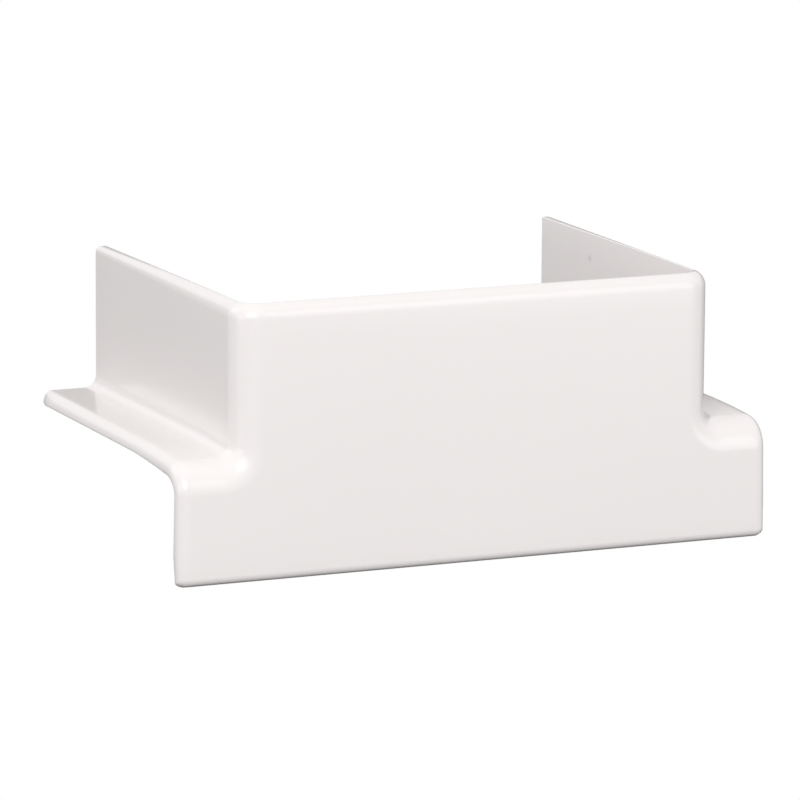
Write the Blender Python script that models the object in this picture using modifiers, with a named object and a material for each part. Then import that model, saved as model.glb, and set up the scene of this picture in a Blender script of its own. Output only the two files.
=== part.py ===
"""Flat tee cover for surface cable trunking.

One moulded shell hides the place where a riser meets a main run. Its tall
block takes the riser from above. Its wide band lies over the top edge of the
main run, and reaches past the block as a shelf on each side. The shell is
open at the top, at the bottom, at both ends and towards the wall.

Units are metres, +Z is up and the front faces -Y. The origin is on the wall,
at the middle of the band's bottom edge.
"""

from math import cos, pi, sin, sqrt

import bmesh
import bpy

# The riser that the block goes over
RISER_WIDTH = 0.080
RISER_DEPTH = 0.060
SIDE_GAP = 0.0005  # between the riser and each side wall

# The shell
WALL = 0.002
HEIGHT = 0.0453  # bottom edge of the band to the top of the block
WING = 0.0103  # reach of each shelf past the block
FLARE = 0.00025  # how much further each end of the band stands out at the bottom
SHELF_HEIGHT = 0.01975  # where the shelf's plane meets the front face
SHELF_DRAFT = 0.012  # rise of the shelf per metre of depth
CROWN = 0.00085  # further rise of the shelf just behind the front
CROWN_RUN = 0.020  # depth in which it rises
SHELF_ROOT = 0.0006  # extra thickness under the shelf at the front, gone after the same depth

# Rounding
BEND = 0.0048  # front face into side walls and shelves
FILLET = 0.0032  # side wall into shelf, at the front
FILLET_AT_WALL = 0.0022  # what is left of it at the wall
RIM = 0.0026  # outer edge round the open top and the open ends
RIM_AT_WALL = 0.001  # what is left of it where a side wall reaches the wall
BOTTOM_RIM = 0.0015  # outer edge along the bottom
SHELF_CORNER = 0.0022  # back corner of each shelf, seen from above
BAND_CORNER = 0.0016  # bottom corner of each end of the band, seen from the front
RIM_LIMIT = 0.8  # a rim's rounding stays under this share of the bend it meets

# Facets of each rounding
BEND_STEPS = 10
FILLET_STEPS = 8
RIM_STEPS = 6
CROWN_STEPS = 6
CORNER_STEPS = 6

# What follows from the sizes above
HALF_BLOCK = RISER_WIDTH / 2 + SIDE_GAP + WALL
HALF_BAND = HALF_BLOCK + WING
DEPTH = RISER_DEPTH + WALL
FRONT = -DEPTH
SHELF_SPLIT = (SHELF_HEIGHT + HEIGHT) / 2  # above the fillets, below the rim

PAST = 0.010  # how far the hollow runs past each open side
TOUCH = 0.00001  # how close a point counts as being on a plane
STRAIGHT = 0.001  # radians that two facets may differ by and still be merged
SHARP = pi / 6  # turn at which the shading shows an edge
WHITE = (0.86, 0.85, 0.84, 1.0)
GLOSS = 0.25  # roughness


def clear_scene():
    """Remove every object that the file opened with."""
    for item in list(bpy.data.objects):
        bpy.data.objects.remove(item, do_unlink=True)


def new_collection(name):
    """Make a collection under the scene's own."""
    group = bpy.data.collections.new(name)
    bpy.context.scene.collection.children.link(group)
    return group


def white_plastic():
    """The glossy white of moulded trunking fittings."""
    material = bpy.data.materials.new("white_plastic")
    material.use_nodes = True
    shader = material.node_tree.nodes["Principled BSDF"]
    shader.inputs["Base Color"].default_value = WHITE
    shader.inputs["Roughness"].default_value = GLOSS
    shader.inputs["Metallic"].default_value = 0.0
    return material


def half_outline(inset, past):
    """Right half of the tee seen from the front, as (x, z) points.

    inset moves the skin inwards, and past lengthens it at the open sides.
    """
    side = HALF_BLOCK - inset
    shelf = SHELF_HEIGHT - inset
    radius = FILLET + inset
    end = HALF_BAND + past
    points = [(0.0, -past), (end, -past), (end, shelf)]
    for step in range(FILLET_STEPS + 1):
        angle = pi / 2 * step / FILLET_STEPS
        points.append((side + radius * (1 - sin(angle)), shelf + radius * (1 - cos(angle))))
    points += [(side, HEIGHT + past), (0.0, HEIGHT + past)]
    return points


def extruded(name, points, y_from, y_to):
    """Extrude an (x, z) outline along Y and return it as a bmesh."""
    curve = bpy.data.curves.new(name, "CURVE")
    curve.dimensions = "2D"
    curve.fill_mode = "BOTH"
    curve.extrude = (y_to - y_from) / 2
    spline = curve.splines.new("POLY")
    spline.points.add(len(points) - 1)
    for point, (x, z) in zip(spline.points, points):
        point.co = (x, z, 0.0, 1.0)
    spline.use_cyclic_u = True
    outline = bpy.data.objects.new(name, curve)
    outline.location.y = (y_from + y_to) / 2
    outline.rotation_euler.x = pi / 2
    bpy.context.scene.collection.objects.link(outline)
    bpy.context.view_layer.update()
    evaluated = outline.evaluated_get(bpy.context.evaluated_depsgraph_get())
    mesh = bpy.data.meshes.new_from_object(evaluated)
    mesh.transform(outline.matrix_world)
    bpy.data.objects.remove(outline, do_unlink=True)
    form = bmesh.new()
    form.from_mesh(mesh)
    bpy.data.meshes.remove(mesh)
    bmesh.ops.remove_doubles(form, verts=form.verts, dist=TOUCH)
    bmesh.ops.dissolve_limit(form, angle_limit=STRAIGHT, verts=form.verts, edges=form.edges)
    bmesh.ops.recalc_face_normals(form, faces=form.faces)
    return form


def cut_across(form, axis, stations):
    """Cut the faces across an axis, so that they can bend there."""
    normal = [0.0, 0.0, 0.0]
    normal[axis] = 1.0
    for place in stations:
        geometry = form.verts[:] + form.edges[:] + form.faces[:]
        point = [place * part for part in normal]
        bmesh.ops.bisect_plane(form, geom=geometry, plane_co=point, plane_no=normal)


def on_plane(edge, axis, place):
    """Whether both ends of an edge lie on the plane axis = place."""
    return all(abs(vertex.co[axis] - place) < TOUCH for vertex in edge.verts)


def round_edges(form, edges, radius, steps):
    """Round a chain of edges. One with no radius left stays sharp."""
    if radius < TOUCH:
        return
    bmesh.ops.bevel(
        form,
        geom=edges,
        offset=radius,
        offset_type="OFFSET",
        segments=steps,
        profile=0.5,
        affect="EDGES",
        clamp_overlap=False,
    )


def round_front(form, inset, past):
    """Bend the front face into the side wall, the fillet and the shelf."""
    flat_sides = [(0, 0.0), (0, HALF_BAND + past), (2, -past), (2, HEIGHT + past)]
    front = [edge for edge in form.edges if on_plane(edge, 1, FRONT + inset)]
    chain = [edge for edge in front if not any(on_plane(edge, *side) for side in flat_sides)]
    round_edges(form, chain, BEND - inset, BEND_STEPS)


def round_rim(form, axis, place, radius):
    """Round the outer edge of an open side, except at the wall and middle."""
    rim = [edge for edge in form.edges if on_plane(edge, axis, place)]
    chain = [edge for edge in rim if not (on_plane(edge, 1, 0.0) or on_plane(edge, 0, 0.0))]
    if axis == 0:
        chain = [edge for edge in chain if not on_plane(edge, 2, 0.0)]
    round_edges(form, chain, radius, RIM_STEPS)


def shelf_rise(y, root):
    """How much higher than its plane the shelf is at depth y.

    root draws it down at the front, and less and less up to the crown's end.
    """
    behind = y - FRONT
    left = 1 - min(behind / CROWN_RUN, 1.0)
    return SHELF_DRAFT * behind + CROWN * (1 - left * left) - root * left


def raise_shelf(form, root):
    """Give the shelf its draft and its crown."""
    for vertex in form.verts:
        if SHELF_HEIGHT / 2 < vertex.co.z < SHELF_SPLIT:
            vertex.co.z += shelf_rise(vertex.co.y, root)


def taper(form, corner, radius, at_wall):
    """Let the rounding about a corner (x, z) shrink from the bend to the wall."""
    start = FRONT + BEND
    corner_x, corner_z = corner
    for vertex in form.verts:
        x, y, z = vertex.co
        near = max(abs(x - corner_x), abs(z - corner_z)) < radius + TOUCH
        if near and y > start:
            keep = 1 + (at_wall / radius - 1) * (y - start) / -start
            vertex.co.x = corner_x + (x - corner_x) * keep
            vertex.co.z = corner_z + (z - corner_z) * keep


def round_end(form, axis, radius):
    """Draw the band's end in along an arc, near the plane axis = 0."""
    start = HALF_BAND - radius
    for vertex in form.verts:
        into = max(1 - abs(vertex.co[axis]) / radius, 0.0)
        if vertex.co.x > start:
            vertex.co.x = start + (vertex.co.x - start) * sqrt(1 - into * into)


def flare_ends(form):
    """Let the band's end stand out further towards the bottom."""
    top = SHELF_HEIGHT - BEND
    for vertex in form.verts:
        x, y, z = vertex.co
        if x > HALF_BLOCK and z < top:
            vertex.co.x += FLARE * (x - HALF_BLOCK) / WING * (1 - z / top)


def crown_stations():
    """Depths at which the shelf's crown bends."""
    start = FRONT + BEND
    run = FRONT + CROWN_RUN - start
    return [start + run * step / CROWN_STEPS for step in range(1, CROWN_STEPS + 1)]


def corner_stations(radius):
    """Distances from the edge at which a corner turns."""
    turns = [pi / 2 * step / CORNER_STEPS for step in range(CORNER_STEPS)]
    return [radius * (1 - sin(turn)) for turn in turns]


def mirrored_object(name, form, group):
    """Open the half at the middle plane, and mirror it into an object."""
    middle = [face for face in form.faces if all(abs(v.co.x) < TOUCH for v in face.verts)]
    bmesh.ops.delete(form, geom=middle, context="FACES_ONLY")
    mesh = bpy.data.meshes.new(name)
    form.to_mesh(mesh)
    form.free()
    item = bpy.data.objects.new(name, mesh)
    group.objects.link(item)
    mirror = item.modifiers.new("other_half", "MIRROR")
    mirror.use_axis = (True, False, False)
    mirror.use_clip = True
    mirror.merge_threshold = TOUCH
    return item


def outer_form(group):
    """The tee as a solid block, with all its outer roundings."""
    form = extruded("tee_cover", half_outline(0.0, 0.0), FRONT, 0.0)
    round_front(form, 0.0, 0.0)
    rim = min(RIM, RIM_LIMIT * BEND)
    round_rim(form, 2, HEIGHT, rim)
    round_rim(form, 0, HALF_BAND, rim)
    round_rim(form, 2, 0.0, min(BOTTOM_RIM, RIM_LIMIT * rim))
    cut_across(form, 1, crown_stations())
    cut_across(form, 1, [-distance for distance in corner_stations(SHELF_CORNER)])
    cut_across(form, 2, corner_stations(BAND_CORNER))
    taper(form, (HALF_BLOCK, HEIGHT), rim, RIM_AT_WALL)
    taper(form, (HALF_BLOCK, SHELF_HEIGHT), FILLET, FILLET_AT_WALL)
    raise_shelf(form, 0.0)
    round_end(form, 1, SHELF_CORNER)
    round_end(form, 2, BAND_CORNER)
    flare_ends(form)
    return mirrored_object("tee_cover", form, group)


def hollow_form(group):
    """The space inside the shell, run on through its open sides."""
    form = extruded("hollow", half_outline(WALL, PAST), FRONT + WALL, PAST)
    round_front(form, WALL, PAST)
    cut_across(form, 1, crown_stations())
    inner_corner = (HALF_BLOCK - WALL, SHELF_HEIGHT - WALL)
    taper(form, inner_corner, FILLET + WALL, FILLET_AT_WALL + WALL)
    raise_shelf(form, SHELF_ROOT)
    item = mirrored_object("hollow", form, group)
    item.hide_render = True
    item.display_type = "WIRE"
    return item


def build():
    """Make the cover: the outer form less the hollow."""
    clear_scene()
    parts = new_collection("trunking_tee_cover")
    cutters = new_collection("cutters")
    cover = outer_form(parts)
    hollow = hollow_form(cutters)
    opening = cover.modifiers.new("hollow", "BOOLEAN")
    opening.operation = "DIFFERENCE"
    opening.solver = "EXACT"
    opening.object = hollow
    cover.data.materials.append(white_plastic())
    cover.data.shade_smooth()
    cover.data.set_sharp_from_angle(angle=SHARP)


build()
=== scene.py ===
"""Trunking tee cover: the fine surface of the moulded cover, its plastic and its studio."""

from math import atan2, cos, pi, radians, sin, tan

import bmesh
import bpy
import numpy as np
from bpy.props import FloatProperty, FloatVectorProperty, PointerProperty
from mathutils import Matrix, Vector


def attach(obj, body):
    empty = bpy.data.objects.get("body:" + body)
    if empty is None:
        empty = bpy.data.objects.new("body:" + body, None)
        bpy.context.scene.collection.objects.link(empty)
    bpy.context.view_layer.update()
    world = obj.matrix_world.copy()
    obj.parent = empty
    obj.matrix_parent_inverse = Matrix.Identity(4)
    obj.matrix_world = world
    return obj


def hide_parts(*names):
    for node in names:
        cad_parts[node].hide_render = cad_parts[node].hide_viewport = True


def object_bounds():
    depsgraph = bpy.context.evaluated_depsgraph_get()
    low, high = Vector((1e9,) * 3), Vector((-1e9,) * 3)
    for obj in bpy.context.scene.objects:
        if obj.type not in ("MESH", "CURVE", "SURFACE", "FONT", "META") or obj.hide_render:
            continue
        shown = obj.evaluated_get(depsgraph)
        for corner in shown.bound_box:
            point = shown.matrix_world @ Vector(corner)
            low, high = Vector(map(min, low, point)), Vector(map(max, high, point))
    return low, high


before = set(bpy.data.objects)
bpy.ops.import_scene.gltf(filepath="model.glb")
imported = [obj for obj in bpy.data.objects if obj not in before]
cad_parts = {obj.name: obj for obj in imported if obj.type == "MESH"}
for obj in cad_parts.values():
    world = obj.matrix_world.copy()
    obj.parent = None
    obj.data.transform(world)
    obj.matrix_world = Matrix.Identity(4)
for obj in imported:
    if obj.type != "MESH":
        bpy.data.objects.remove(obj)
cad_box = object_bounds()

bl_info = {
    "name": "Trunking Tee Cover",
    "version": (1, 0, 0),
    "blender": (4, 5, 0),
    "location": "3D View > Sidebar > Tee Cover",
    "description": "Adds a moulded tee cover for surface cable trunking and a studio for it",
    "category": "Add Mesh",
}


# Steps of the surface grids
WALL_ROWS = 36  # along the walls and shelves, from the back rim to the bend
BEND_ROWS = 24  # round the front bend
FRONT_ROWS = 8  # over the front face
RIM_STEPS = 12  # round the outer edge of a rim
SMALL_STEPS = 4  # round the inner edge of a rim
FILLET_STEPS = 20  # up to the line to the middle of the front face; half as many follow
STRAIGHT_STEPS = 6  # across each flat part of the path

# The painted shade on the right side wall's inner face: a dark spot that stands in for the shade of a small
# moulded pip
PIP_SHADE_PLACE = (0.0405, -0.0190, 0.0410)
PIP_SHADE_REACH = 0.0009
PIP_SHADE_COLOUR = (0.10, 0.09, 0.08, 1.0)

# The plastic
PLASTIC_IOR = 1.49
CLOUD_SCALE = 28.0
RIPPLE_SCALE = 260.0
GLOSS_SPREAD = 0.1  # share by which the roughness varies over the surface

# The studio: what the lamps face, and the places of the floor and the dark card
AIM = Vector((0.0, -0.03, 0.02))
LAMP_DISTANCE = 0.5
FLOOR_LEVEL = -0.4
FLOOR_REACH = 6.0
FLOOR_PAINT = (0.45, 0.45, 0.45, 1.0)
WHITE = (1.0, 1.0, 1.0, 1.0)
CARD_GREY = (0.08, 0.08, 0.08, 1.0)
CARD_LIFT = 0.001  # of its foot over the floor
CARD_RADIUS = 0.7
CARD_TOP = 16.0  # degrees above the object's middle

# The shade cards, close under the front edge and by the left end
SHADE_GREY = (0.06, 0.06, 0.06, 1.0)
CONTACT_DROP = 0.0008  # from the object's bottom down to the contact card, and to the end card's foot
CONTACT_OUT = 0.0008  # how far the contact card stands out past the front and the ends
CONTACT_BEHIND = 0.0022  # from the front back to its other long edge
END_GAP = 0.0020  # between the band's left end and the end card
END_BACK = 0.0026  # from the front back to the end card's near edge
END_TOP = 0.0175  # level of its top

# Each soft box: degrees across from the front to the right, degrees above the floor, width, height
SOFT_BOXES = {
    "key": (-35.0, 28.0, 0.28, 0.22),
    "right": (27.0, 25.0, 0.17, 0.17),
    "low": (35.0, 5.0, 0.28, 0.19),
    "left": (-75.0, 8.0, 0.28, 0.19),
    "back": (-118.0, 32.0, 0.33, 0.22),
    "behind": (180.0, 4.0, 0.28, 0.19),
}

# The camera, as the photograph was taken
CAMERA_ACROSS = radians(24.29)  # to the left of the front
CAMERA_ABOVE = radians(10.91)
CAMERA_ROLL = radians(0.3734)
CAMERA_DISTANCE = 1.0175
CAMERA_TARGET = Vector((-0.00027, -0.0310, 0.0215))
SENSOR_WIDTH = 36.0
PICTURE_WIDTH = 800.0
FOCAL_PIXELS = 6101.0


def length(name, description, default):
    """A size in metres that the sidebar shows."""
    return FloatProperty(
        name=name, description=description, default=default, min=0.0, unit="LENGTH", precision=6)


class TeeCoverSizes(bpy.types.PropertyGroup):
    """The sizes of the moulded shell."""

    block_width: length("Block Width", "Outer width of the block over the riser", 0.085)
    band_width: length("Band Width", "Width of the band over the main run, at its shelves", 0.1056)
    band_flare: length("Band Flare", "Further reach of each end of the band at the bottom", 0.00025)
    height: length("Height", "From the band's bottom edge to the top of the block", 0.0453)
    depth: length("Depth", "From the front face to the wall", 0.062)
    wall: length("Wall Thickness", "Thickness of the shell", 0.002)
    shelf_height: length("Shelf Height", "Height of the shelf's plane at the front face", 0.01975)
    shelf_draft: FloatProperty(
        name="Shelf Draft", description="Rise of the shelf per metre of depth", default=0.012)
    crown: length("Crown", "Further rise of the shelf just behind the front", 0.00085)
    crown_run: length("Crown Run", "Depth in which the crown rises", 0.020)
    root: length("Shelf Root", "Extra thickness that the shelf would have at the front face", 0.0006)
    bend: length("Front Bend", "Radius from the front face into the walls and shelves", 0.0048)
    fillet: length("Fillet", "Radius from the side wall into the shelf, at the front", 0.0022)
    fillet_at_wall: length("Fillet at the Wall", "What is left of that radius at the back", 0.0022)
    rim: length("Rim Rounding", "Outer rounding of the open top", 0.0026)
    end_rim: length("End Rounding", "Outer rounding of the open ends of the band", 0.0023)
    rim_at_wall: length("Rim at the Wall", "Rounding left at the back of the side walls", 0.001)
    inner_rim: length("Inner Rounding", "Small rounding on the inner edge of the open top and ends", 0.0002)
    bottom_rim: length("Bottom Rounding", "Outer rounding along the bottom edge", 0.0015)
    shelf_corner: length("Shelf Corner", "Back corner of each shelf, from above", 0.0022)
    band_corner: length("Band Corner", "Bottom corner of each band end, from the front", 0.0016)


class WhitePlasticFinish(bpy.types.PropertyGroup):
    """The look of the moulded plastic."""

    colour: FloatVectorProperty(
        name="Colour", description="Colour of the plastic", subtype="COLOR", size=3,
        default=(0.89, 0.853, 0.843), min=0.0, max=1.0)
    roughness: FloatProperty(
        name="Roughness", description="Roughness of the polished skin", default=0.20, min=0.0, max=1.0)
    unevenness: FloatProperty(
        name="Unevenness", description="Share by which the colour varies over the surface",
        default=0.008, min=0.0)
    ripple: length("Ripple", "Height of the skin's faint ripple", 0.000006)
    # Painted shade: how dark the painted spot is that stands in for the shade of a small moulded pip
    pip_shade: FloatProperty(
        name="Pip Shade", description="Darkness of the small speck on the inner face",
        default=0.22, min=0.0, max=1.0)


def power(name, description, default):
    """The strength of a lamp in watts that the sidebar shows."""
    return FloatProperty(name=name, description=description, default=default, min=0.0, unit="POWER")


class StudioLight(bpy.types.PropertyGroup):
    """The strengths of the soft boxes, and of the room round them."""

    key: power("Key", "In front, to the left, half way up", 0.69)
    right: power("Right", "In front, to the right, half way up", 0.18)
    low: power("Low Right", "Level with the object in front, to the right", 0.31)
    left: power("Left", "Level with the object on the left", 0.23)
    back: power("Back Left", "Behind on the left, half way up", 0.19)
    behind: power("Behind", "Level with the object behind it, for its inside", 0.42)
    room: FloatProperty(
        name="Room", description="Light that comes evenly from all round", default=0.72, min=0.0)


def shelf_rise(sizes, behind):
    """Rise of the shelf: draft times depth, plus a crown that is a parabola up to its run."""
    left = 1 - np.minimum(behind / sizes.crown_run, 1.0)
    return sizes.shelf_draft * behind + sizes.crown * (1 - left * left)


def shelf_root(sizes, behind, turn):
    """Extra thickness under the shelf: it fades evenly over the crown's run, and into the bend."""
    left = 1 - np.minimum(behind / sizes.crown_run, 1.0)
    return sizes.root * left * np.sin(turn) ** 2


def rim_arc(radius, small, wall):
    """Edge of a rim from the outer sheet to the inner one, as (distance below the rim, inset) columns.

    On the outer quarter round the distance is radius less radius times sine, and the inset is radius
    less radius times cosine, both of one angle. It stops short of the wall's thickness by the small
    radius, which then turns the edge down onto the inner sheet."""
    full = np.arccos(np.clip(1 - (wall - small) / radius, 0.0, 1.0))
    angle = full[:, None] * np.linspace(0.0, 1.0, RIM_STEPS + 1)[None, :]
    below = radius[:, None] * (1 - np.sin(angle))
    inset = radius[:, None] * (1 - np.cos(angle))
    turn = np.linspace(0.0, pi / 2, SMALL_STEPS + 1)[None, :]
    below = np.concatenate([below, below[:, -1:] + small * (1 - np.cos(turn))], axis=1)
    inset = np.concatenate([inset, wall[:, None] - small * (1 - np.sin(turn))], axis=1)
    return below, inset


def depth_rows(sizes):
    """Rows from the back rim to the end of the front face, as (depth, turn, share of the front).

    Turn is the angle of the bend, a right angle on the walls and nought on the front face. The walls'
    rows crowd together where the crown turns. The front's first row keeps close to the bend."""
    run = np.linspace(0.0, 1.0, WALL_ROWS + 1)[:-1]
    along = sizes.bend + (sizes.depth - sizes.bend) * (1 - run) ** 1.7
    turn = np.linspace(pi / 2, 0.0, BEND_ROWS + 1)
    depth = np.concatenate([along, sizes.bend * (1 - np.cos(turn)), np.zeros(FRONT_ROWS)])
    angle = np.concatenate([np.full(WALL_ROWS, pi / 2), turn, np.zeros(FRONT_ROWS)])
    near = np.linspace(0.0, 1.0, FRONT_ROWS + 1)[1:] ** 3
    share = np.concatenate([np.zeros(WALL_ROWS + BEND_ROWS + 1), near])
    return depth, angle, share


def half_shell(sizes, rows):
    """Right half of the shell as a list of grids of points, one of them for each face of the sheet.

    The sheet's two parameters are the row, from the back rim over the bend to the front face, and the
    column, along the path that the front view shows: in from the band's end over the shelf, round the
    fillet, and up the side wall to the top. A point lies at the path's point, less the outward
    direction times what the bend has turned away, less the inset of the sheet along its normal."""
    depth, turn, share = rows
    count = len(depth)
    bend = sizes.bend
    back_run = np.clip((depth - bend) / (sizes.depth - bend), 0.0, 1.0)
    fillet = sizes.fillet + (sizes.fillet_at_wall - sizes.fillet) * back_run
    wall = np.full(count, sizes.wall)
    shelf_wall = wall + shelf_root(sizes, depth, turn)
    side, end = sizes.block_width / 2, sizes.band_width / 2
    level = sizes.shelf_height + shelf_rise(sizes, depth)
    flat_level = sizes.shelf_height
    bottom = sizes.bottom_rim
    ones = np.ones((count, 1))

    end_below, end_inset = rim_arc(np.full(count, sizes.end_rim), sizes.inner_rim, shelf_wall)
    top_radius = sizes.rim + (sizes.rim_at_wall - sizes.rim) * back_run
    top_below, top_inset = rim_arc(top_radius, sizes.inner_rim, wall)
    rim_columns = end_below.shape[1]

    # Columns of the path, one block after another: x, z, outward x, outward z, inset
    straight = np.linspace(0.0, 1.0, STRAIGHT_STEPS + 1)[1:-1]
    between = STRAIGHT_STEPS - 1
    shelf_from, shelf_to = end - end_below[:, 0], side + fillet
    middle = atan2(side + sizes.fillet, flat_level + sizes.fillet - bottom)
    arc = np.concatenate([
        np.linspace(0.0, middle, FILLET_STEPS + 1), np.linspace(middle, pi / 2, FILLET_STEPS // 2 + 1)[1:]])
    foot, head = level + fillet, sizes.height - top_below[:, 0]

    x = np.concatenate([
        (end - end_below)[:, ::-1],
        shelf_from[:, None] + (shelf_to - shelf_from)[:, None] * straight,
        side + fillet[:, None] * (1 - np.sin(arc)),
        ones * np.full(between, side),
        ones * np.full(rim_columns, side),
    ], axis=1)
    z = np.concatenate([
        level[:, None] * np.ones(rim_columns),
        level[:, None] * np.ones(between),
        level[:, None] + fillet[:, None] * (1 - np.cos(arc)),
        foot[:, None] + (head - foot)[:, None] * straight,
        sizes.height - top_below,
    ], axis=1)
    flat_columns = wall_columns = rim_columns + between
    out_x = np.concatenate([np.zeros(flat_columns), np.sin(arc), np.ones(wall_columns)])
    out_z = np.concatenate([np.ones(flat_columns), np.cos(arc), np.zeros(wall_columns)])
    inset = np.concatenate([
        end_inset[:, ::-1], np.zeros((count, between + len(arc) + between)), top_inset,
    ], axis=1)

    # Where each column ends on the front face: on the bottom rounding's line, or on the middle plane
    last = count - 1
    rest = np.clip(wall[last] - inset[last], 0.0, bottom)
    start_x = x[last] - out_x * bend
    start_z = np.where(out_z == 1.0, flat_level - bend, z[last] - out_z * bend)
    with np.errstate(divide="ignore", invalid="ignore"):
        drop = (start_z - rest) / out_z
        across = start_x / out_x
    reach = np.where(out_x == 0.0, drop, np.where(out_z == 0.0, across, np.minimum(drop, across)))
    reach[out_z < 1e-9] = across[out_z < 1e-9]
    end_x = start_x - out_x * reach
    end_z = start_z - out_z * reach
    end_x[np.abs(end_x) < 1e-9] = 0.0
    lands_low = np.abs(end_z - rest) < 1e-8

    def sheet(pick, inset, low_z):
        """Points of the sheet at the picked columns, at this inset along its normal."""
        sine, cosine = np.sin(turn)[:, None], np.cos(turn)[:, None]
        away = bend - (bend - inset) * sine
        px = x[:, pick] - out_x[pick] * away
        pz = z[:, pick] - out_z[pick] * away
        behind = np.where(turn[:, None] >= pi / 2 - 1e-9, depth[:, None], bend - (bend - inset) * cosine)
        part = share[:, None]
        target_z = np.where(lands_low[pick], low_z[pick], end_z[pick])
        px = px + (end_x[pick] - px) * part
        pz = pz + (target_z - pz) * part
        return np.stack([px, behind - sizes.depth, pz], axis=2)

    every = np.arange(x.shape[1])
    inner_pick = np.concatenate([[0], np.arange(rim_columns, x.shape[1] - rim_columns), [x.shape[1] - 1]])
    outer = sheet(every, inset, rest)
    under = wall[:, None] + (shelf_wall - wall)[:, None] * out_z[inner_pick] ** 2
    inner = sheet(inner_pick, under, np.zeros(x.shape[1]))

    # Back rim, between the two sheets
    partner = np.clip(every - (rim_columns - 1), 0, len(inner_pick) - 1)
    back = np.stack([outer[0], inner[0][partner]])

    # Bottom rim: a quarter round, then flat to the inner sheet
    low = np.nonzero(lands_low)[0]
    turn_down = np.linspace(0.0, pi / 2, RIM_STEPS + 1)[:, None]
    radius = rest[low]
    strip_y = inset[last][low] + radius * (1 - np.cos(turn_down))
    strip_z = radius * (1 - np.sin(turn_down))
    strip_x = np.ones_like(turn_down) * end_x[low]
    strip = np.stack([strip_x, strip_y - sizes.depth, strip_z], axis=2)
    strip = np.concatenate([strip, inner[last][partner[low]][None]])
    grids = [outer, inner, back, strip]
    for grid in grids:
        outwards = np.clip((grid[..., 0] - side) / (end - side), 0.0, 1.0)
        downwards = np.clip(1 - grid[..., 2] / (flat_level - bend), 0.0, 1.0)
        grid[..., 0] += sizes.band_flare * outwards * downwards
    return grids


def round_corner(first, second, first_edge, second_edge, radius):
    """Take a square corner back to an arc, without folding the grid.

    Within the radius of both edges, each distance is scaled by the root of one less half the other's
    square, which carries the unit square onto the quarter disc."""
    a = np.clip((first - (first_edge - radius)) / radius, 0.0, 1.0)
    b = np.clip((second - (second_edge - radius)) / radius, 0.0, 1.0)
    new_first = np.where(a > 0, first_edge - radius + radius * a * np.sqrt(1 - b * b / 2), first)
    new_second = np.where(b > 0, second_edge - radius + radius * b * np.sqrt(1 - a * a / 2), second)
    inside = (a > 0) & (b > 0)
    return np.where(inside, new_first, first), np.where(inside, new_second, second)


def shell_mesh(name, sizes):
    """The whole shell as one closed mesh: the grids of the right half, and their mirror images."""
    grids = half_shell(sizes, depth_rows(sizes))
    outermost = max(float(grid[..., 0].max()) for grid in grids)
    points, quads, start = [], [], 0
    for grid in grids:
        x, y, z = grid[..., 0], grid[..., 1], grid[..., 2]
        x, low = round_corner(x, -z, outermost, 0.0, sizes.band_corner)
        x, y = round_corner(x, y, outermost, 0.0, sizes.shelf_corner)
        for side in (1.0, -1.0):
            points.append(np.stack([x * side, y, -low], axis=2).reshape(-1, 3))
            index = start + np.arange(x.size).reshape(x.shape)
            quads.append(np.stack(
                [index[:-1, :-1], index[1:, :-1], index[1:, 1:], index[:-1, 1:]], axis=2).reshape(-1, 4))
            start += x.size
    points, quads = np.concatenate(points), np.concatenate(quads)
    mesh = bpy.data.meshes.new(name)
    mesh.from_pydata(points, [], quads)
    form = bmesh.new()
    form.from_mesh(mesh)
    bmesh.ops.remove_doubles(form, verts=form.verts, dist=1e-6)
    bmesh.ops.recalc_face_normals(form, faces=form.faces)
    if any(len(edge.link_faces) != 2 for edge in form.edges):
        raise RuntimeError("the shell isn't closed")
    form.to_mesh(mesh)
    form.free()
    mesh.shade_smooth()
    mesh.set_sharp_from_angle(angle=radians(40))
    return mesh


def new_node(tree, kind, x, y, **values):
    """Add a node at a place and set its named properties."""
    node = tree.nodes.new(kind)
    node.location = (x, y)
    for key, value in values.items():
        setattr(node, key, value)
    return node


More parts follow.
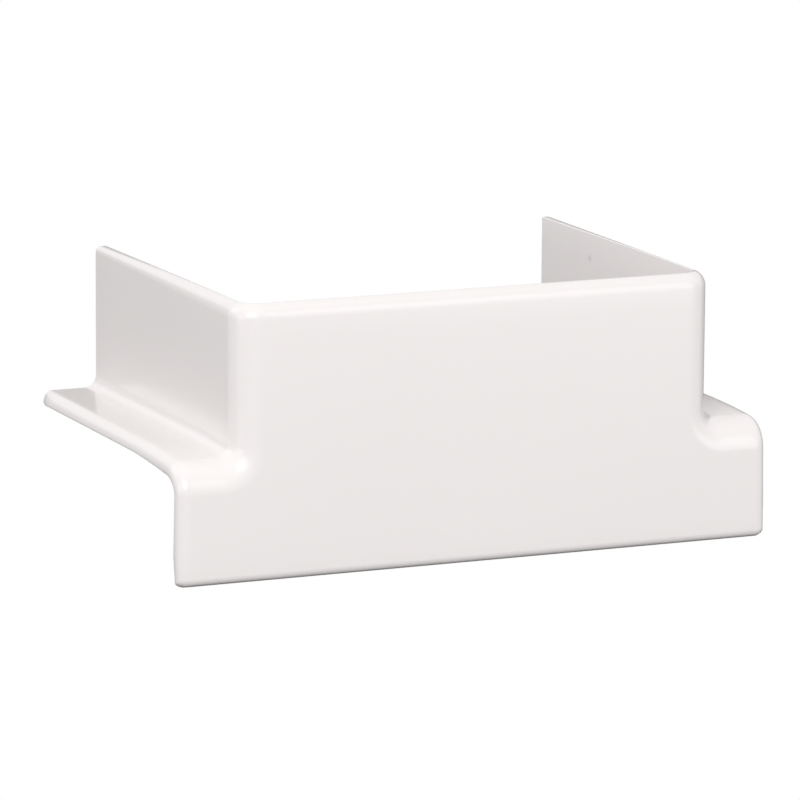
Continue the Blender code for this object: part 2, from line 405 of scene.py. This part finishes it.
def white_plastic(finish):
    """Moulded white plastic: a polished skin with a faint unevenness in colour, gloss and surface.

    A small dark spot is painted on the right side wall's inner face: painted shade that stands in for the
    shade of a small moulded pip. Its darkness falls off smoothly with the distance from its middle."""
    material = bpy.data.materials.new("moulded_white_plastic")
    material.use_nodes = True
    tree = material.node_tree
    shader = tree.nodes["Principled BSDF"]
    shader.inputs["IOR"].default_value = PLASTIC_IOR
    place = new_node(tree, "ShaderNodeTexCoord", -1300, 0)

    cloud = new_node(tree, "ShaderNodeTexNoise", -1100, 200)
    cloud.inputs["Scale"].default_value = CLOUD_SCALE
    cloud.inputs["Detail"].default_value = 2.0
    tree.links.new(place.outputs["Object"], cloud.inputs["Vector"])
    tint = new_node(tree, "ShaderNodeMix", -700, 250, data_type="RGBA")
    tint.inputs["A"].default_value = (*[c * (1 - finish.unevenness) for c in finish.colour], 1.0)
    tint.inputs["B"].default_value = (*[min(c * (1 + finish.unevenness), 1.0) for c in finish.colour], 1.0)
    tree.links.new(cloud.outputs["Fac"], tint.inputs["Factor"])

    # Painted shade: a dark spot, mixed into the colour, stands in for the shade of a small moulded pip on
    # the right side wall's inner face
    apart = new_node(tree, "ShaderNodeVectorMath", -1100, 500, operation="DISTANCE")
    apart.inputs[1].default_value = PIP_SHADE_PLACE
    tree.links.new(place.outputs["Object"], apart.inputs[0])
    pip_shade = new_node(tree, "ShaderNodeMapRange", -900, 500, interpolation_type="SMOOTHSTEP")
    pip_shade.inputs["From Max"].default_value = PIP_SHADE_REACH
    pip_shade.inputs["To Min"].default_value = finish.pip_shade
    pip_shade.inputs["To Max"].default_value = 0.0
    tree.links.new(apart.outputs["Value"], pip_shade.inputs["Value"])
    pip_shaded = new_node(tree, "ShaderNodeMix", -400, 350, data_type="RGBA")
    pip_shaded.inputs["B"].default_value = PIP_SHADE_COLOUR
    tree.links.new(pip_shade.outputs["Result"], pip_shaded.inputs["Factor"])
    tree.links.new(tint.outputs["Result"], pip_shaded.inputs["A"])
    tree.links.new(pip_shaded.outputs["Result"], shader.inputs["Base Color"])

    gloss = new_node(tree, "ShaderNodeMapRange", -700, 0)
    gloss.inputs["To Min"].default_value = finish.roughness * (1 - GLOSS_SPREAD)
    gloss.inputs["To Max"].default_value = finish.roughness * (1 + GLOSS_SPREAD)
    tree.links.new(cloud.outputs["Fac"], gloss.inputs["Value"])
    tree.links.new(gloss.outputs["Result"], shader.inputs["Roughness"])

    peel = new_node(tree, "ShaderNodeTexNoise", -1100, -250)
    peel.inputs["Scale"].default_value = RIPPLE_SCALE
    peel.inputs["Detail"].default_value = 1.0
    tree.links.new(place.outputs["Object"], peel.inputs["Vector"])
    bump = new_node(tree, "ShaderNodeBump", -400, -250)
    bump.inputs["Distance"].default_value = finish.ripple
    tree.links.new(peel.outputs["Fac"], bump.inputs["Height"])
    tree.links.new(bump.outputs["Normal"], shader.inputs["Normal"])
    return material


class TEECOVER_OT_add_cover(bpy.types.Operator):
    """Add the moulded tee cover and let it stand for the plain solid"""

    bl_idname = "mesh.add_trunking_tee_cover"
    bl_label = "Add Tee Cover"
    bl_options = {"REGISTER", "UNDO"}

    def execute(self, context):
        scene = context.scene
        name = "moulded_tee_cover"
        cover = bpy.data.objects.new(name, shell_mesh(name, scene.tee_cover_sizes))
        scene.collection.objects.link(cover)
        cover.data.materials.append(white_plastic(scene.tee_cover_finish))
        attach(cover, "root")
        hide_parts("tee_cover")
        return {"FINISHED"}


def add_soft_box(name, watts):
    """A rectangular lamp that faces the object, at the place that the table of soft boxes gives."""
    across, above, width, height = SOFT_BOXES[name]
    lamp = bpy.data.lights.new(name + "_box", "AREA")
    lamp.shape = "RECTANGLE"
    lamp.size, lamp.size_y = width, height
    lamp.energy = watts
    turn, lift = radians(across), radians(above)
    away = Vector((sin(turn) * cos(lift), -cos(turn) * cos(lift), sin(lift)))
    box = bpy.data.objects.new(name + "_box", lamp)
    box.location = AIM + LAMP_DISTANCE * away
    box.rotation_euler = away.to_track_quat("Z", "Y").to_euler()
    bpy.context.scene.collection.objects.link(box)
    return box


def seen_directly(tree, x, y):
    """A socket that is one for rays from the camera, a reflection or a clear material, else nought."""
    path = new_node(tree, "ShaderNodeLightPath", x, y)
    glossy = new_node(tree, "ShaderNodeMath", x + 200, y, operation="MAXIMUM")
    clear = new_node(tree, "ShaderNodeMath", x + 400, y, operation="MAXIMUM")
    tree.links.new(path.outputs["Is Camera Ray"], glossy.inputs[0])
    tree.links.new(path.outputs["Is Glossy Ray"], glossy.inputs[1])
    tree.links.new(glossy.outputs["Value"], clear.inputs[0])
    tree.links.new(path.outputs["Is Transmission Ray"], clear.inputs[1])
    return clear.outputs["Value"]


def studio_world(room_light):
    """White where the background is seen, and an even grey room where it only lights the object."""
    world = bpy.data.worlds.new("studio")
    bpy.context.scene.world = world
    world.use_nodes = True
    tree = world.node_tree
    tree.nodes.clear()
    output = new_node(tree, "ShaderNodeOutputWorld", 600, 0)
    mix = new_node(tree, "ShaderNodeMixShader", 400, 0)
    room = new_node(tree, "ShaderNodeBackground", 200, 50)
    room.inputs["Color"].default_value = WHITE
    room.inputs["Strength"].default_value = room_light
    white = new_node(tree, "ShaderNodeBackground", 200, -150)
    white.inputs["Color"].default_value = WHITE
    tree.links.new(seen_directly(tree, -300, 300), mix.inputs["Fac"])
    tree.links.new(room.outputs["Background"], mix.inputs[1])
    tree.links.new(white.outputs["Background"], mix.inputs[2])
    tree.links.new(mix.outputs["Shader"], output.inputs["Surface"])


def add_floor():
    """A wide pale floor, far below, that is seen as white, and as nothing from underneath."""
    mesh = bpy.data.meshes.new("floor")
    across = FLOOR_REACH * np.array([-1.0, 1.0, 1.0, -1.0])
    back = FLOOR_REACH * np.array([-1.0, -1.0, 1.0, 1.0])
    mesh.from_pydata(np.stack([across, back, np.full(4, FLOOR_LEVEL)], axis=1), [], [(0, 1, 2, 3)])
    floor = bpy.data.objects.new("floor", mesh)
    bpy.context.scene.collection.objects.link(floor)
    material = bpy.data.materials.new("pale_floor")
    material.use_nodes = True
    tree = material.node_tree
    tree.nodes.clear()
    output = new_node(tree, "ShaderNodeOutputMaterial", 800, 0)
    side = new_node(tree, "ShaderNodeMixShader", 600, 0)
    mix = new_node(tree, "ShaderNodeMixShader", 400, 0)
    paint = new_node(tree, "ShaderNodeBsdfDiffuse", 200, 50)
    paint.inputs["Color"].default_value = FLOOR_PAINT
    white = new_node(tree, "ShaderNodeEmission", 200, -150)
    face = new_node(tree, "ShaderNodeNewGeometry", 400, 300)
    nothing = new_node(tree, "ShaderNodeBsdfTransparent", 400, -200)
    tree.links.new(seen_directly(tree, -300, 300), mix.inputs["Fac"])
    tree.links.new(paint.outputs["BSDF"], mix.inputs[1])
    tree.links.new(white.outputs["Emission"], mix.inputs[2])
    tree.links.new(face.outputs["Backfacing"], side.inputs["Fac"])
    tree.links.new(mix.outputs["Shader"], side.inputs[1])
    tree.links.new(nothing.outputs["BSDF"], side.inputs[2])
    tree.links.new(side.outputs["Shader"], output.inputs["Surface"])
    mesh.materials.append(material)


def dull_paint(name, grey):
    """Paint without any gloss, for the cards."""
    material = bpy.data.materials.new(name)
    material.use_nodes = True
    shader = material.node_tree.nodes["Principled BSDF"]
    shader.inputs["Base Color"].default_value = grey
    shader.inputs["Roughness"].default_value = 1.0
    shader.inputs["Specular IOR Level"].default_value = 0.0
    return material


def add_dark_card():
    """A dark card behind the object, as only reflections see it: it draws the white edges.

    The card is a strip in three rows of points: the middle of the floor, the back half of a circle
    on the floor, and the same half circle further up. Across is radius times the cosine of an angle,
    back is radius times its sine."""
    angle = np.linspace(0.0, pi, 49)
    foot = FLOOR_LEVEL + CARD_LIFT
    top = AIM.z + CARD_RADIUS * tan(radians(CARD_TOP))
    reach = np.array([0.0, CARD_RADIUS, CARD_RADIUS])[:, None]
    level = np.array([foot, foot, top])[:, None] + 0.0 * angle
    points = np.stack([reach * np.cos(angle), reach * np.sin(angle) + AIM.y, level], axis=2).reshape(-1, 3)
    index = np.arange(len(points)).reshape(3, -1)
    mesh = bpy.data.meshes.new("dark_card")
    mesh.from_pydata(points, [], np.stack(
        [index[:-1, :-1], index[:-1, 1:], index[1:, 1:], index[1:, :-1]], axis=2).reshape(-1, 4))
    card = bpy.data.objects.new("dark_card", mesh)
    bpy.context.scene.collection.objects.link(card)
    card.visible_camera = card.visible_diffuse = card.visible_shadow = False
    card.visible_transmission = card.visible_volume_scatter = False
    mesh.materials.append(dull_paint("dark_card", CARD_GREY))


def add_shade_card(name, corners):
    """A dark card close to the object, as only diffuse light sees it: it shades the edge beside it."""
    mesh = bpy.data.meshes.new(name)
    mesh.from_pydata(corners, [], [(0, 1, 2, 3)])
    card = bpy.data.objects.new(name, mesh)
    bpy.context.scene.collection.objects.link(card)
    card.visible_camera = card.visible_glossy = card.visible_shadow = False
    card.visible_transmission = card.visible_volume_scatter = False
    mesh.materials.append(dull_paint(name, SHADE_GREY))


def add_shade_cards():
    """One card lies under the front edge, as a table's shade does, and one stands by the left end."""
    (left, front, _), (right, back, _) = cad_box
    near, far = front - CONTACT_OUT, front + CONTACT_BEHIND
    add_shade_card("contact_card", [
        (left - CONTACT_OUT, near, -CONTACT_DROP), (right + CONTACT_OUT, near, -CONTACT_DROP),
        (right + CONTACT_OUT, far, -CONTACT_DROP), (left - CONTACT_OUT, far, -CONTACT_DROP)])
    beside, start = left - END_GAP, front + END_BACK
    add_shade_card("end_card", [
        (beside, start, -CONTACT_DROP), (beside, back, -CONTACT_DROP),
        (beside, back, END_TOP), (beside, start, END_TOP)])


def add_camera():
    """A long lens, left of the front and a little above, as in the photograph."""
    back = Vector((
        -sin(CAMERA_ACROSS) * cos(CAMERA_ABOVE),
        -cos(CAMERA_ACROSS) * cos(CAMERA_ABOVE),
        sin(CAMERA_ABOVE)))
    right = Vector((cos(CAMERA_ACROSS), -sin(CAMERA_ACROSS), 0.0))
    up = back.cross(right)
    turned_right = cos(CAMERA_ROLL) * right + sin(CAMERA_ROLL) * up
    turned_up = cos(CAMERA_ROLL) * up - sin(CAMERA_ROLL) * right
    lens = bpy.data.cameras.new("photo_lens")
    lens.sensor_width = SENSOR_WIDTH
    lens.lens = FOCAL_PIXELS * SENSOR_WIDTH / PICTURE_WIDTH
    camera = bpy.data.objects.new("photo_camera", lens)
    camera.matrix_world = Matrix.Translation(CAMERA_TARGET + CAMERA_DISTANCE * back) @ Matrix(
        (turned_right, turned_up, back)).transposed().to_4x4()
    bpy.context.scene.collection.objects.link(camera)
    bpy.context.scene.camera = camera


class TEECOVER_OT_set_studio(bpy.types.Operator):
    """Set the floor, the soft boxes, the world and the camera"""

    bl_idname = "scene.set_tee_cover_studio"
    bl_label = "Set Studio"
    bl_options = {"REGISTER", "UNDO"}

    def execute(self, context):
        light = context.scene.tee_cover_light
        add_floor()
        add_dark_card()
        add_shade_cards()
        studio_world(light.room)
        for name in SOFT_BOXES:
            box = add_soft_box(name, getattr(light, name))
            # The lamp behind only lights the inside, so that reflections of the back stay dark
            box.visible_glossy = name != "behind"
        add_camera()
        context.scene.view_settings.view_transform = "Standard"
        return {"FINISHED"}


class VIEW3D_PT_trunking_tee_cover(bpy.types.Panel):
    """Sizes, finish and lights of the tee cover"""

    bl_label = "Trunking Tee Cover"
    bl_idname = "VIEW3D_PT_trunking_tee_cover"
    bl_space_type = "VIEW_3D"
    bl_region_type = "UI"
    bl_category = "Tee Cover"

    def draw(self, context):
        layout = self.layout
        scene = context.scene
        for group in (scene.tee_cover_sizes, scene.tee_cover_finish, scene.tee_cover_light):
            box = layout.box()
            for name in group.__annotations__:
                box.prop(group, name)
        layout.operator(TEECOVER_OT_add_cover.bl_idname)
        layout.operator(TEECOVER_OT_set_studio.bl_idname)


classes = (
    TeeCoverSizes, WhitePlasticFinish, StudioLight,
    TEECOVER_OT_add_cover, TEECOVER_OT_set_studio, VIEW3D_PT_trunking_tee_cover,
)


def register():
    for item in classes:
        bpy.utils.register_class(item)
    bpy.types.Scene.tee_cover_sizes = PointerProperty(type=TeeCoverSizes)
    bpy.types.Scene.tee_cover_finish = PointerProperty(type=WhitePlasticFinish)
    bpy.types.Scene.tee_cover_light = PointerProperty(type=StudioLight)


def unregister():
    del bpy.types.Scene.tee_cover_light
    del bpy.types.Scene.tee_cover_finish
    del bpy.types.Scene.tee_cover_sizes
    for item in reversed(classes):
        bpy.utils.unregister_class(item)


def main():
    """Register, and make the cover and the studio."""
    register()
    bpy.ops.mesh.add_trunking_tee_cover()
    bpy.ops.scene.set_tee_cover_studio()


if __name__ == "__main__":
    main()
